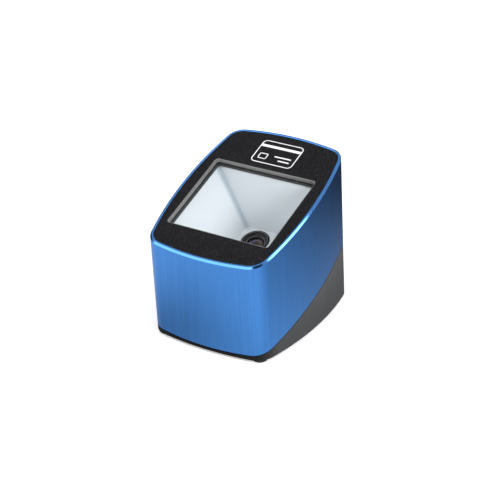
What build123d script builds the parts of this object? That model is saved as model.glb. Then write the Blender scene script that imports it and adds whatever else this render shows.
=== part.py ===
from build123d import *
import os
from math import cos, radians, sin, tan

# Desktop reader for contactless cards and printed codes.
# X is the width, +Y points to the back, +Z is up. The origin is on the table, midway between the feet.
# "Depth" is always measured square to the tilted panel, downwards from its face.
# "Rise" is measured along the panel, up its slope, from the line above the origin.

# ---- overall form ----
body_width = 80.0
body_depth = 92.9
front_bulge_radius = 169.0
side_bulge_radius = 166.0
corner_radius = 10.3
front_height = 55.3
panel_slope = 18.45
seam_front_height = 3.66
seam_slope = 19.35

# ---- sleeve ----
sleeve_wall = 3.0
rim_width = 1.8
rim_outer_bevel = 0.8
rim_inner_bevel = 0.2

# ---- panel and its bonding tape ----
panel_thickness = 2.2
panel_gap = 0.1
tape_thickness = 0.3
tape_edge_margin = 0.2
tape_glass_margin = 0.4

# ---- window ----
window_width = 62.0
window_length = 50.5
window_rise = -5.15
window_corner_radius = 1.5
window_bevel = 0.45
glass_overlap = 1.5
glass_thickness = 1.5
glass_gap = 0.3
gasket_thickness = 1.9
gasket_setback = 0.3

# ---- printed card mark ----
mark_width = 25.4
mark_height = 17.0
mark_rise = 33.0
mark_corner_radius = 2.6
mark_line = 0.5
ink_thickness = 0.08
mark_stripe_height = 1.7
mark_stripe_drop = 3.2
mark_chip_width = 5.2
mark_chip_height = 4.2
mark_chip_radius = 0.9
mark_chip_line = 0.5
mark_inner_margin = 3.0
mark_bar_height = 0.8
mark_bar_pitch = 2.6
mark_long_bar = 10.2
mark_short_bar = 6.8

# ---- light funnel ----
flange_thickness = 1.5
flange_margin = 2.9
flange_length_margin = 3.2
flange_corner_radius = 6.0
funnel_depth = 24.9
funnel_wall = 1.5
funnel_rim_inset = 0.65
funnel_rim_radius = 1.5
funnel_floor_side_margin = 2.7
funnel_floor_end_margin = 0.9
funnel_floor_radius = 1.0
ear_radius = 3.2
ear_spacing = 24.0
post_radius = 2.5
post_embedment = 13.0

# ---- lens ----
lens_rise = -4.2
lens_head_radius = 8.0
lens_head_length = 6.0
lens_proud = 0.5
lens_hole_gap = 0.2
lens_body_radius = 6.0
lens_body_length = 8.6
lip_width = 1.1
lip_step = 0.5
tier_width = 0.9
tier_step = 0.45
lens_bore_radius = 5.2
front_seat_depth = 4.3
ring_width = 0.85
ring_length = 1.0
element_gap = 0.05
front_glass_edge = 1.8
front_glass_dome = 0.75
throat_radius = 4.2
rear_bore_radius = 4.9
rear_seat_length = 2.6
rear_glass_edge = 1.8
rear_glass_dome = 0.5

# ---- camera ----
holder_width = 16.0
holder_length = 10.5
holder_web = 1.0
holder_web_hole_radius = 3.5
holder_cavity_width = 12.0
holder_cavity_depth = 2.5
lens_fit_gap = 0.05
filter_width = 8.0
filter_thickness = 0.5
sensor_size = (9.0, 7.0, 1.2)
camera_board_width = 38.0
camera_board_length = 30.0
light_board_width = 42.0
light_board_length = 34.0
light_board_drop = 1.0
board_hole_spacing_x = 33.0
board_hole_spacing_rise = 25.0
board_thickness = 1.6
board_corner_radius = 1.5
spacer_length = 13.9
spacer_radius = 2.4
camera_screw_bite = 5.5
led_size = (3.0, 3.0, 0.8)
led_side_offset = 17.5
led_side_pitch = 9.0
led_end_offset = 13.3
led_end_pitch = 9.0

# ---- inner frame ----
frame_gap = 0.15
leg_radius = 3.5
leg_inset_x = 18.0
leg_inset_y = 11.45
web_thickness = 2.0
web_height = 9.0
leg_pilot_depth = 14.0

# ---- card aerial ----
aerial_width = 54.0
aerial_length = 16.4
aerial_rise = 33.2
aerial_board_thickness = 1.0
aerial_pocket_gap = 0.3
aerial_corner_radius = 1.5
coil_turns = 4
coil_line = 0.7
coil_pitch = 1.3
coil_margin = 0.9
coil_thickness = 0.15
ferrite_thickness = 0.4
ferrite_margin = 1.0

# ---- base tray ----
foot_height = 1.8
tray_floor = 2.0
tray_wall = 2.5
tray_shelf = 2.5
tongue_gap = 0.15
tongue_wall = 1.8
tongue_height = 4.5
seam_groove_height = 0.4
seam_groove_depth = 0.8
boss_radius = 4.1
boss_top = 12.0

# ---- feet and label ----
foot_radius = 4.0
foot_inset_x = 10.4
foot_inset_y = 8.1
foot_recess = 0.6
foot_recess_gap = 0.15
foot_edge_radius = 0.5
label_size = (36.0, 18.0, 0.15)
label_recess_gap = 0.2
label_recess = 0.2
label_corner_radius = 1.5

# ---- screws: shank radius, head radius, head height ----
case_screw = (1.5, 2.75, 2.0)
case_screw_length = 18.0
board_screw = (1.25, 2.25, 1.5)
board_screw_length = 5.0
camera_screw = (1.0, 1.9, 1.3)
reflector_screw = (1.0, 1.9, 1.3)
reflector_screw_length = 3.6
pilot_gap = 0.05
clearance_gap = 0.2
head_gap = 0.45
head_seat_height = 3.5
drive_slot_share = 0.32
drive_reach_share = 1.25
drive_depth_share = 0.6

# ---- main board ----
main_board_width = 60.0
main_board_length = 60.0
main_board_height = 8.0
main_board_tab_width = 24.0
main_board_wall_gap = 1.4
standoff_radius = 3.0
standoff_spacing = 52.0
standoff_pilot_floor = 0.4
processor_size = (14.0, 14.0, 1.2)
processor_place = (4.0, -8.0)
memory_size = (9.0, 11.0, 1.0)
memory_place = (20.0, -8.0)
radio_size = (6.0, 6.0, 0.9)
radio_place = (-14.0, 12.0)
crystal_size = (5.0, 3.2, 1.1)
crystal_places = ((-7.0, -4.0), (-14.0, 4.0))
capacitor_radius = 3.15
capacitor_height = 5.4
capacitor_base = (6.6, 6.6, 0.8)
capacitor_places = ((16.0, 16.0), (24.0, 16.0))
buzzer_radius = 6.0
buzzer_height = 4.2
buzzer_hole_radius = 1.2
buzzer_hole_depth = 1.5
buzzer_place = (-16.0, -17.0)

# ---- sockets and leads inside ----
ribbon_width = 10.0
ribbon_thickness = 0.3
ribbon_socket_size = (13.0, 4.2, 1.6)
ribbon_socket_y = 21.0
ribbon_camera_rise = 6.0
ribbon_back_y = 31.0
ribbon_bend = 3.0
lead_socket_size = (4.0, 4.0, 2.0)
lead_radius = 0.6
lead_bend = 4.0
light_socket_offset = 3.5
light_lead_foot = (-25.5, 4.0)
aerial_lead_x = -24.0
aerial_lead_rise = 28.5
aerial_lead_foot = (-25.0, 19.0)
aerial_lead_elbow_height = 30.0
aerial_lead_hole_radius = 1.0

# ---- data inlet at the rear ----
inlet_width = 9.0
inlet_height = 3.2
inlet_length = 7.6
inlet_shell = 0.3
inlet_tongue_size = (6.6, 0.7, 5.4)
inlet_gap = 0.3
inlet_recess_width = 13.0
inlet_recess_height = 7.4
inlet_recess_depth = 1.2
inlet_mouth_setback = 0.1

# ---- values that follow from the sizes above ----
half_width = body_width / 2
half_depth = body_depth / 2
panel_angle = radians(panel_slope)
seam_angle = radians(seam_slope)
prism_height = front_height + body_depth * tan(panel_angle)
panel_centre_height = front_height + half_depth * tan(panel_angle)
seam_centre_height = seam_front_height + half_depth * tan(seam_angle)
panel_normal = Vector(0, -sin(panel_angle), cos(panel_angle))
seam_normal = Vector(0, -sin(seam_angle), cos(seam_angle))
rebate_depth = panel_thickness + tape_thickness
glass_bottom = panel_thickness + glass_thickness
gasket_bottom = glass_bottom + gasket_thickness
frame_plate_bottom = gasket_bottom
flange_bottom = frame_plate_bottom + flange_thickness
floor_depth = frame_plate_bottom + funnel_depth
lens_top = floor_depth - lens_proud
light_board_top = floor_depth + funnel_wall + light_board_drop
camera_board_top = light_board_top + board_thickness + spacer_length
camera_board_bottom = camera_board_top + board_thickness
lens_hole_radius = lens_head_radius + lens_hole_gap
tray_floor_top = foot_height + tray_floor
tongue_inset = sleeve_wall + tongue_gap
frame_inset = sleeve_wall + frame_gap
main_board_top = main_board_height + board_thickness
aerial_board_top = rebate_depth + coil_thickness + tape_thickness
aerial_board_bottom = aerial_board_top + aerial_board_thickness
aerial_pocket_bottom = aerial_board_bottom + ferrite_thickness
inlet_back_y = half_depth - inlet_recess_depth - inlet_mouth_setback - inlet_length
inlet_centre_z = main_board_top + inlet_height / 2


# ---- shared geometry ----
def outline(inset):
    """The rounded, bulging plan of the body, drawn in by the inset."""
    front = Pos(0, front_bulge_radius - half_depth) * Circle(front_bulge_radius - inset)
    back = Pos(0, half_depth - front_bulge_radius) * Circle(front_bulge_radius - inset)
    left = Pos(side_bulge_radius - half_width, 0) * Circle(side_bulge_radius - inset)
    right = Pos(half_width - side_bulge_radius, 0) * Circle(side_bulge_radius - inset)
    plan = front & back & left & right
    return fillet(plan.vertices(), corner_radius - inset)


def prism(inset):
    """An upright prism of the body's plan, from the table to above the back edge."""
    return extrude(outline(inset), amount=prism_height)


def panel_at(depth):
    """The plane parallel to the panel at a depth; its Y runs up the slope."""
    origin = Vector(0, 0, panel_centre_height) - panel_normal * depth
    return Plane(origin=origin, x_dir=(1, 0, 0), z_dir=panel_normal)


def seam_at(drop):
    """The plane parallel to the sleeve's lower edge, lowered by a drop square to it."""
    origin = Vector(0, 0, seam_centre_height) - seam_normal * drop
    return Plane(origin=origin, x_dir=(1, 0, 0), z_dir=seam_normal)


def below(shape, plane):
    return split(shape, bisect_by=plane, keep=Keep.BOTTOM)


def above(shape, plane):
    return split(shape, bisect_by=plane, keep=Keep.TOP)


def cross_section(inset, depth):
    """The body's plan, drawn in by the inset, cut by the plane at a depth under the panel."""
    stump = below(prism(inset), panel_at(depth))
    return stump.faces().sort_by(lambda face: face.center().dot(panel_normal))[-1]


def bevel_ring(top_inset, bottom_inset, depth):
    """The oblique cap whose side slants from one inset at the panel's face to another at a depth."""
    return loft([cross_section(bottom_inset, depth), cross_section(top_inset, 0)], ruled=True)


def slab(sketch, top_depth, bottom_depth):
    """A sketch in panel coordinates made solid between two depths."""
    return extrude(panel_at(bottom_depth) * sketch, amount=bottom_depth - top_depth)


def panel_rod(x, rise, radius, top_depth, bottom_depth):
    return slab(Pos(x, rise) * Circle(radius), top_depth, bottom_depth)


def panel_tube(outer, inner, top_depth, bottom_depth):
    """A tube on the lens axis."""
    return slab(Pos(0, lens_rise) * (Circle(outer) - Circle(inner)), top_depth, bottom_depth)


def rod(x, y, radius, bottom, top):
    return extrude(Pos(x, y, bottom) * Circle(radius), amount=top - bottom)


def block(size, place, bottom):
    """A block of a given size standing on a height at a place in plan."""
    width, length, height = size
    x, y = place
    return Pos(x, y, bottom + height / 2) * Box(width, length, height)


def corners(x, y):
    return [(side * x, end * y) for side in (-1, 1) for end in (-1, 1)]


def screw(plane, sizes, length):
    """A cross-head screw: its shank runs down from the plane, and its head stands on it."""
    shank_radius, head_radius, head_height = sizes
    shank = extrude(Circle(shank_radius), amount=-length)
    head = extrude(Circle(head_radius), amount=head_height)
    head = fillet(head.faces().sort_by(Axis.Z)[-1].edges(), head_height / 4)
    slot_width = head_radius * drive_slot_share
    slot_length = head_radius * drive_reach_share
    slots = Rectangle(slot_length, slot_width) + Rectangle(slot_width, slot_length)
    drive = extrude(Pos(0, 0, head_height) * slots, amount=-head_height * drive_depth_share)
    return plane * (head + shank - drive)


# ---- outside ----
def shell_sleeve():
    """The oblique-cut extruded sleeve, with a ledge for the panel and a bevelled rim."""
    body = below(prism(0), panel_at(rim_outer_bevel)) + bevel_ring(rim_outer_bevel, 0, rim_outer_bevel)
    tube = above(body - prism(sleeve_wall), seam_at(0))
    tube = tube - above(below(prism(rim_width), panel_at(0)), panel_at(rebate_depth))
    return tube - bevel_ring(rim_width - rim_inner_bevel, rim_width, rim_inner_bevel)


def window_sketch(margin, length_margin=None, radius_margin=0.0):
    """The window's rounded rectangle, grown by a margin on each side."""
    if length_margin is None:
        length_margin = margin
    width = window_width + 2 * margin
    length = window_length + 2 * length_margin
    return Pos(0, window_rise) * RectangleRounded(width, length, window_corner_radius + radius_margin)


def top_panel():
    """The panel plate, flush with the sleeve's rim, with a bevelled window opening."""
    plate = prism(rim_width + panel_gap)
    plate = above(below(plate, panel_at(0)), panel_at(panel_thickness))
    plate = plate - slab(window_sketch(0), 0, panel_thickness)
    face = plate.faces().sort_by(lambda item: item.center().dot(panel_normal))[-1]
    return chamfer(face.inner_wires()[0].edges(), window_bevel)


def panel_tape():
    """Double-sided tape between the panel and both the sleeve's ledge and the frame."""
    sheet = prism(rim_width + panel_gap + tape_edge_margin)
    sheet = above(below(sheet, panel_at(panel_thickness)), panel_at(rebate_depth))
    glass_room = window_sketch(glass_overlap + tape_glass_margin)
    aerial_room = Pos(0, aerial_rise) * Rectangle(aerial_width, aerial_length)
    return sheet - slab(glass_room + aerial_room, panel_thickness, rebate_depth)


def panel_symbol():
    """A plain card drawn in white ink: outline, stripe, contact pad and two bars."""
    card = RectangleRounded(mark_width, mark_height, mark_corner_radius)
    inside = RectangleRounded(
        mark_width - 2 * mark_line, mark_height - 2 * mark_line, mark_corner_radius - mark_line
    )
    stripe_y = mark_height / 2 - mark_stripe_drop - mark_stripe_height / 2
    stripe = Pos(0, stripe_y) * Rectangle(mark_width - 2 * mark_line, mark_stripe_height)
    chip_x = -mark_width / 2 + mark_inner_margin + mark_chip_width / 2
    chip_y = -mark_height / 2 + mark_inner_margin + mark_chip_height / 2
    chip = RectangleRounded(mark_chip_width, mark_chip_height, mark_chip_radius)
    chip_hole = Rectangle(mark_chip_width - 2 * mark_chip_line, mark_chip_height - 2 * mark_chip_line)
    marks = (card - inside) + stripe + Pos(chip_x, chip_y) * (chip - chip_hole)
    right_edge = mark_width / 2 - mark_inner_margin
    for row, length in enumerate((mark_long_bar, mark_short_bar)):
        bar_y = chip_y + mark_bar_pitch / 2 - row * mark_bar_pitch
        marks = marks + Pos(right_edge - length / 2, bar_y) * Rectangle(length, mark_bar_height)
    return slab(Pos(0, mark_rise) * marks, -ink_thickness, 0)


def window_glass():
    return slab(window_sketch(glass_overlap), panel_thickness, glass_bottom)


def window_gasket():
    """A foam ring squeezed between the glass and the funnel's flange."""
    ring = window_sketch(glass_overlap) - window_sketch(gasket_setback)
    return slab(ring, glass_bottom, gasket_bottom)


# ---- light funnel ----
def ear_places():
    """Screw places on the funnel's flange, at its front and back."""
    reach = window_length / 2 + flange_length_margin
    return [(x, window_rise + y) for x, y in corners(ear_spacing / 2, reach)]


def board_holes():
    return [(x, lens_rise + y) for x, y in corners(board_hole_spacing_x / 2, board_hole_spacing_rise / 2)]


def funnel_solid(wall, bottom_depth):
    """The four-sided funnel, grown outwards by a wall."""
    rim_width_x = window_width + 2 * gasket_setback + 2 * wall
    rim_length = window_length - 2 * funnel_rim_inset + 2 * wall
    rim = Pos(0, window_rise) * RectangleRounded(rim_width_x, rim_length, funnel_rim_radius + wall)
    floor_width = 2 * (lens_hole_radius + funnel_floor_side_margin + wall)
    floor_length = 2 * (lens_hole_radius + funnel_floor_end_margin + wall)
    floor = Pos(0, lens_rise) * RectangleRounded(floor_width, floor_length, funnel_floor_radius + wall)
    return loft([panel_at(frame_plate_bottom) * rim, panel_at(bottom_depth) * floor], ruled=True)


def light_reflector():
    """The white funnel with its flange, screw ears and four posts for the boards."""
    flange = window_sketch(flange_margin, flange_length_margin, flange_corner_radius)
    for x, rise in ear_places():
        flange = flange + Pos(x, rise) * Circle(ear_radius)
    body = slab(flange, frame_plate_bottom, flange_bottom)
    body = body + funnel_solid(funnel_wall, floor_depth + funnel_wall)
    for x, rise in board_holes():
        body = body + panel_rod(x, rise, post_radius, light_board_top - post_embedment, light_board_top)
    body = body - funnel_solid(0, floor_depth)
    lens_hole_bottom = floor_depth + 2 * funnel_wall
    body = body - panel_rod(0, lens_rise, lens_hole_radius, floor_depth - lens_proud, lens_hole_bottom)
    for x, rise in ear_places():
        radius = reflector_screw[0] + clearance_gap
        body = body - panel_rod(x, rise, radius, frame_plate_bottom, flange_bottom)
    for x, rise in board_holes():
        radius = camera_screw[0] + pilot_gap
        top = light_board_top - camera_screw_bite - pilot_gap
        body = body - panel_rod(x, rise, radius, top, light_board_top)
    return body


def reflector_screws():
    """Four screws that pull the funnel's flange up against the frame."""
    group = Part()
    for x, rise in ear_places():
        seat = panel_at(flange_bottom).origin + Vector(x, 0, 0) + panel_at(0).y_dir * rise
        plane = Plane(origin=seat, x_dir=(1, 0, 0), z_dir=-panel_normal)
        group = group + screw(plane, reflector_screw, reflector_screw_length)
    return group


# ---- lens ----
def lens_barrel():
    """The stepped black barrel, open at the front in three tiers."""
    body_top = lens_top + lens_head_length
    body_bottom = body_top + lens_body_length
    barrel = panel_rod(0, lens_rise, lens_head_radius, lens_top, body_top)
    barrel = fillet(barrel.edges().sort_by(lambda edge: edge.center().dot(panel_normal))[-1], lip_width / 3)
    barrel = barrel + panel_rod(0, lens_rise, lens_body_radius, body_top, body_bottom)
    tier_radius = lens_head_radius - lip_width
    tier_top = lens_top
    for step in (lip_step, lip_step + tier_step, lip_step + 2 * tier_step):
        barrel = barrel - panel_rod(0, lens_rise, tier_radius, tier_top, lens_top + step)
        tier_radius = tier_radius - tier_width / 2
    seat = lens_top + front_seat_depth
    barrel = barrel - panel_rod(0, lens_rise, lens_bore_radius, lens_top, seat)
    barrel = barrel - panel_rod(0, lens_rise, throat_radius, seat, body_bottom)
    rear_seat = body_bottom - rear_seat_length
    return barrel - panel_rod(0, lens_rise, rear_bore_radius, rear_seat, body_bottom)


def glass_disc(radius, edge, dome, edge_depth, faces_up):
    """A plano-convex glass: a disc whose dome bulges up or down from the edge depth."""
    sphere_radius = (radius**2 + dome**2) / (2 * dome)
    ball_depth = edge_depth - dome + sphere_radius
    cap_end = edge_depth + edge
    if not faces_up:
        ball_depth = edge_depth + dome - sphere_radius
        cap_end = edge_depth - edge
    centre = panel_at(ball_depth).origin + panel_at(0).y_dir * lens_rise
    ball = Pos(centre.X, centre.Y, centre.Z) * Sphere(sphere_radius)
    outer_depth = edge_depth - dome if faces_up else edge_depth + dome
    drum = panel_rod(0, lens_rise, radius, min(outer_depth, cap_end), max(outer_depth, cap_end))
    return drum & ball


def lens_front_element():
    seat = lens_top + front_seat_depth
    radius = lens_bore_radius - element_gap
    return glass_disc(radius, front_glass_edge, front_glass_dome, seat - front_glass_edge, True)


def lens_retaining_ring():
    """The threaded ring that holds the front glass on its seat."""
    bottom = lens_top + front_seat_depth - front_glass_edge
    outer = lens_bore_radius - element_gap
    ring = panel_tube(outer, outer - ring_width, bottom - ring_length, bottom)
    return ring - lens_front_element()


def lens_rear_element():
    body_bottom = lens_top + lens_head_length + lens_body_length
    seat = body_bottom - rear_seat_length
    radius = rear_bore_radius - element_gap
    return glass_disc(radius, rear_glass_edge, rear_glass_dome, seat + rear_glass_edge, False)


# ---- camera ----
def holder_top():
    return camera_board_top - holder_length


def lens_holder():
    """The square mount that carries the barrel over the image sensor."""
    top = holder_top()
    cavity_top = camera_board_top - holder_cavity_depth
    web_top = cavity_top - holder_web
    square = Pos(0, lens_rise) * RectangleRounded(holder_width, holder_width, board_corner_radius)
    cavity = Pos(0, lens_rise) * Rectangle(holder_cavity_width, holder_cavity_width)
    holder = slab(square, top, camera_board_top) - slab(cavity, cavity_top, camera_board_top)
    holder = holder - panel_rod(0, lens_rise, lens_body_radius + lens_fit_gap, top, web_top)
    return holder - panel_rod(0, lens_rise, holder_web_hole_radius, web_top, cavity_top)


def infrared_filter():
    top = camera_board_top - holder_cavity_depth
    square = Pos(0, lens_rise) * Rectangle(filter_width, filter_width)
    return slab(square, top, top + filter_thickness)


def image_sensor():
    width, length, height = sensor_size
    return slab(Pos(0, lens_rise) * Rectangle(width, length), camera_board_top - height, camera_board_top)


def camera_board():
    sheet = RectangleRounded(camera_board_width, camera_board_length, board_corner_radius)
    sheet = Pos(0, lens_rise) * sheet
    for x, rise in board_holes():
        sheet = sheet - Pos(x, rise) * Circle(camera_screw[0] + clearance_gap)
    return slab(sheet, camera_board_top, camera_board_bottom)


def light_board():
    sheet = Pos(0, lens_rise) * RectangleRounded(light_board_width, light_board_length, board_corner_radius)
    sheet = sheet - Pos(0, lens_rise) * Circle(lens_head_radius + 2 * lens_hole_gap)
    for x, rise in board_holes():
        sheet = sheet - Pos(x, rise) * Circle(camera_screw[0] + clearance_gap)
    return slab(sheet, light_board_top, light_board_top + board_thickness)


def light_leds():
    """Lamps that shine up into the funnel's slanting white walls."""
    width, length, height = led_size
    group = Part()
    places = corners(led_side_offset, led_side_pitch / 2) + corners(led_end_pitch / 2, led_end_offset)
    for x, y in places:
        lamp = Pos(x, lens_rise + y) * Rectangle(width, length)
        group = group + slab(lamp, light_board_top - height, light_board_top)
    return group


def board_spacers():
    group = Part()
    top = light_board_top + board_thickness
    for x, rise in board_holes():
        ring = Pos(x, rise) * (Circle(spacer_radius) - Circle(camera_screw[0] + clearance_gap))
        group = group + slab(ring, top, camera_board_top)
    return group


def camera_screws():
    """Four long screws that clamp both boards to the funnel's posts."""
    group = Part()
    length = camera_board_bottom - light_board_top + camera_screw_bite
    for x, rise in board_holes():
        seat = panel_at(camera_board_bottom).origin + Vector(x, 0, 0) + panel_at(0).y_dir * rise
        plane = Plane(origin=seat, x_dir=(1, 0, 0), z_dir=-panel_normal)
        group = group + screw(plane, camera_screw, length)
    return group


# ---- inner frame ----
def leg_places():
    return corners(half_width - leg_inset_x, half_depth - leg_inset_y)


def inner_frame():
    """The chassis: a tilted plate on four legs, open for the window and pocketed for the aerial."""
    plate_mid = panel_at((rebate_depth + frame_plate_bottom) / 2)
    plate = above(below(prism(frame_inset), panel_at(rebate_depth)), panel_at(frame_plate_bottom))
    legs = Part()
    for x, y in leg_places():
        legs = legs + rod(x, y, leg_radius, boss_top, prism_height)
    webs = Part()
    for y in (-1, 1):
        place = (0, y * (half_depth - leg_inset_y))
        webs = webs + block((body_width - 2 * leg_inset_x, web_thickness, prism_height), place, 0)
    webs = above(webs, panel_at(frame_plate_bottom + web_height))
    frame = plate + below(legs, plate_mid) + below(webs, plate_mid)
    glass_room = window_sketch(glass_overlap + glass_gap, None, glass_gap)
    frame = frame - slab(glass_room, rebate_depth, frame_plate_bottom)
    pocket = Pos(0, aerial_rise) * RectangleRounded(
        aerial_width + 2 * aerial_pocket_gap, aerial_length + 2 * aerial_pocket_gap, aerial_corner_radius
    )
    frame = frame - slab(pocket, rebate_depth, aerial_pocket_bottom)
    lead_hole = aerial_lead_hole_radius
    frame = frame - rod(aerial_lead_x, aerial_lead_y(), lead_hole, boss_top, prism_height)
    for x, y in leg_places():
        radius = case_screw[0] + pilot_gap
        frame = frame - rod(x, y, radius, boss_top, boss_top + leg_pilot_depth)
    for x, rise in ear_places():
        radius = reflector_screw[0] + pilot_gap
        top = frame_plate_bottom - (reflector_screw_length - flange_thickness) - pilot_gap
        frame = frame - panel_rod(x, rise, radius, top, frame_plate_bottom)
    return frame


# ---- card aerial ----
def ferrite_sheet():
    """The magnetic backing sheet on the floor of the frame's pocket."""
    sheet = Rectangle(aerial_width - 2 * ferrite_margin, aerial_length - 2 * ferrite_margin)
    sheet = Pos(0, aerial_rise) * sheet
    hole = Pos(aerial_lead_x, aerial_lead_rise) * Circle(aerial_lead_hole_radius)
    return slab(sheet - hole, aerial_board_bottom, aerial_pocket_bottom)


def antenna_board():
    sheet = Pos(0, aerial_rise) * RectangleRounded(aerial_width, aerial_length, aerial_corner_radius)
    return slab(sheet, aerial_board_top, aerial_board_bottom)


def antenna_coil():
    """A flat copper spiral of square turns on top of the aerial board."""
    outer_inset = coil_margin + coil_line / 2
    points = [(outer_inset - aerial_width / 2, aerial_length / 2 - outer_inset)]
    for turn in range(coil_turns):
        inset = outer_inset + turn * coil_pitch
        x = aerial_width / 2 - inset
        y = aerial_length / 2 - inset
        points += [(x, y), (x, -y), (-x, -y), (-x, y - coil_pitch)]
    spiral = trace(Polyline(*points), coil_line)
    return slab(Pos(0, aerial_rise) * spiral, aerial_board_top - coil_thickness, aerial_board_top)


# ---- main board ----
def standoff_places():
    return corners(standoff_spacing / 2, standoff_spacing / 2)


def main_board():
    """The board on the tray's floor, with a tab at the back for the inlet."""
    sheet = Rectangle(main_board_width, main_board_length)
    tab_end = half_depth - tray_wall - main_board_wall_gap
    sheet = sheet + Pos(0, tab_end / 2) * Rectangle(main_board_tab_width, tab_end)
    for x, y in standoff_places():
        sheet = sheet - Pos(x, y) * Circle(board_screw[0] + clearance_gap)
    return extrude(Pos(0, 0, main_board_height) * sheet, amount=board_thickness)


def processor_chip():
    return block(processor_size, processor_place, main_board_top)


def memory_chip():
    return block(memory_size, memory_place, main_board_top)


def radio_chip():
    return block(radio_size, radio_place, main_board_top)


def crystal_cans():
    group = Part()
    for place in crystal_places:
        can = block(crystal_size, place, main_board_top)
        group = group + fillet(can.edges().filter_by(Axis.Z), crystal_size[1] / 3)
    return group


def capacitors():
    group = Part()
    for x, y in capacitor_places:
        can_bottom = main_board_top + capacitor_base[2]
        can = rod(x, y, capacitor_radius, can_bottom, main_board_top + capacitor_height)
        group = group + block(capacitor_base, (x, y), main_board_top) + can
    return group


def buzzer():
    x, y = buzzer_place
    top = main_board_top + buzzer_height
    can = rod(x, y, buzzer_radius, main_board_top, top)
    return can - rod(x, y, buzzer_hole_radius, top - buzzer_hole_depth, top)


def board_screws():
    group = Part()
    for x, y in standoff_places():
        group = group + screw(Plane(origin=(x, y, main_board_top)), board_screw, board_screw_length)
    return group


# ---- leads inside ----
def slope_point(rise, depth):
    """Height and distance back of a point given by its rise and depth."""
    point = panel_at(depth).origin + panel_at(0).y_dir * rise
    return point.Y, point.Z


def aerial_lead_y():
    return slope_point(aerial_lead_rise, aerial_board_bottom)[0]


def ribbon_sockets():
    """The plug-in sockets for the ribbon and the two leads."""
    width, length, height = ribbon_socket_size
    group = block(ribbon_socket_size, (0, ribbon_socket_y), main_board_top)
    on_camera = Pos(0, ribbon_camera_rise) * Rectangle(width, length)
    group = group + slab(on_camera, camera_board_bottom, camera_board_bottom + height)
    group = group + block(lead_socket_size, light_lead_foot, main_board_top)
    group = group + block(lead_socket_size, aerial_lead_foot, main_board_top)
    width, length, height = lead_socket_size
    socket_x = -light_board_width / 2 + light_socket_offset
    light_top = light_board_top + board_thickness
    on_light = Pos(socket_x, lens_rise) * Rectangle(width, length)
    return group + slab(on_light, light_top, light_top + height)


def camera_ribbon():
    """The flat flexible cable from the camera board round to the main board."""
    socket_back = ribbon_camera_rise + ribbon_socket_size[1] / 2
    start = slope_point(socket_back, camera_board_bottom + ribbon_socket_size[2] / 2)
    bend_rise = (ribbon_back_y - start[0]) / cos(panel_angle)
    turn = (ribbon_back_y, start[1] + bend_rise * sin(panel_angle))
    low_z = main_board_top + ribbon_socket_size[2] / 2
    end = (ribbon_socket_y + ribbon_socket_size[1] / 2, low_z)
    path = FilletPolyline(start, turn, (ribbon_back_y, low_z), end, radius=ribbon_bend)
    strip = Plane.YZ * trace(path, ribbon_thickness)
    return extrude(strip, amount=ribbon_width / 2, both=True)


def lead(points):
    """A round lead along straight runs joined by arcs."""
    path = FilletPolyline(*points, radius=lead_bend)
    section = Plane(origin=path @ 0, z_dir=path % 0) * Circle(lead_radius)
    return sweep(section, path)


def light_lead():
    socket_x = -light_board_width / 2 + light_socket_offset
    socket_bottom = light_board_top + board_thickness + lead_socket_size[2]
    start = (socket_x, *slope_point(lens_rise, socket_bottom))
    elbow = (socket_x, *slope_point(lens_rise, socket_bottom + 2 * lead_bend))
    foot = (*light_lead_foot, main_board_top + lead_socket_size[2])
    above_foot = (light_lead_foot[0], light_lead_foot[1], foot[2] + 2 * lead_bend)
    return lead([start, elbow, above_foot, foot])


def antenna_lead():
    y, z = slope_point(aerial_lead_rise, aerial_board_bottom)
    start = (aerial_lead_x, y, z - lead_radius * tan(panel_angle))
    foot = (*aerial_lead_foot, main_board_top + lead_socket_size[2])
    above_foot = (aerial_lead_foot[0], aerial_lead_foot[1], foot[2] + 2 * lead_bend)
    elbow = (aerial_lead_x, y, aerial_lead_elbow_height)
    return lead([start, elbow, above_foot, foot])


# ---- data inlet ----
def inlet_plane(y):
    """An upright plane at the rear whose local Y points up, facing backwards."""
    return Plane(origin=(0, y, inlet_centre_z), x_dir=(-1, 0, 0), z_dir=(0, 1, 0))


def socket_shell():
    """The metal can of the data inlet, closed at its inner end."""
    outer = RectangleRounded(inlet_width, inlet_height, inlet_height / 2 - inlet_shell / 2)
    room_height = inlet_height - 2 * inlet_shell
    room = RectangleRounded(inlet_width - 2 * inlet_shell, room_height, room_height / 2 - inlet_shell / 2)
    can = extrude(inlet_plane(inlet_back_y) * outer, amount=inlet_length)
    return can - extrude(inlet_plane(inlet_back_y + inlet_shell) * room, amount=inlet_length)


def socket_tongue():
    """The contact tongue in the middle of the inlet."""
    width, height, length = inlet_tongue_size
    plane = inlet_plane(inlet_back_y + inlet_shell)
    return extrude(plane * Rectangle(width, height), amount=length)


# ---- base ----
def foot_places():
    return corners(half_width - foot_inset_x, half_depth - foot_inset_y)


def tray_shell():
    """The wedge's walls, floor, shoulder and the tongue that goes up inside the sleeve."""
    tray = below(prism(0), seam_at(seam_groove_height)) + below(prism(seam_groove_depth), seam_at(0))
    tray = tray + below(prism(tongue_inset), seam_at(-tongue_height))
    room = below(prism(tray_wall), seam_at(tray_shelf)) + prism(tongue_inset + tongue_wall)
    tray = tray - above(room, Plane.XY.offset(tray_floor_top))
    return above(tray, Plane.XY.offset(foot_height))


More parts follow.
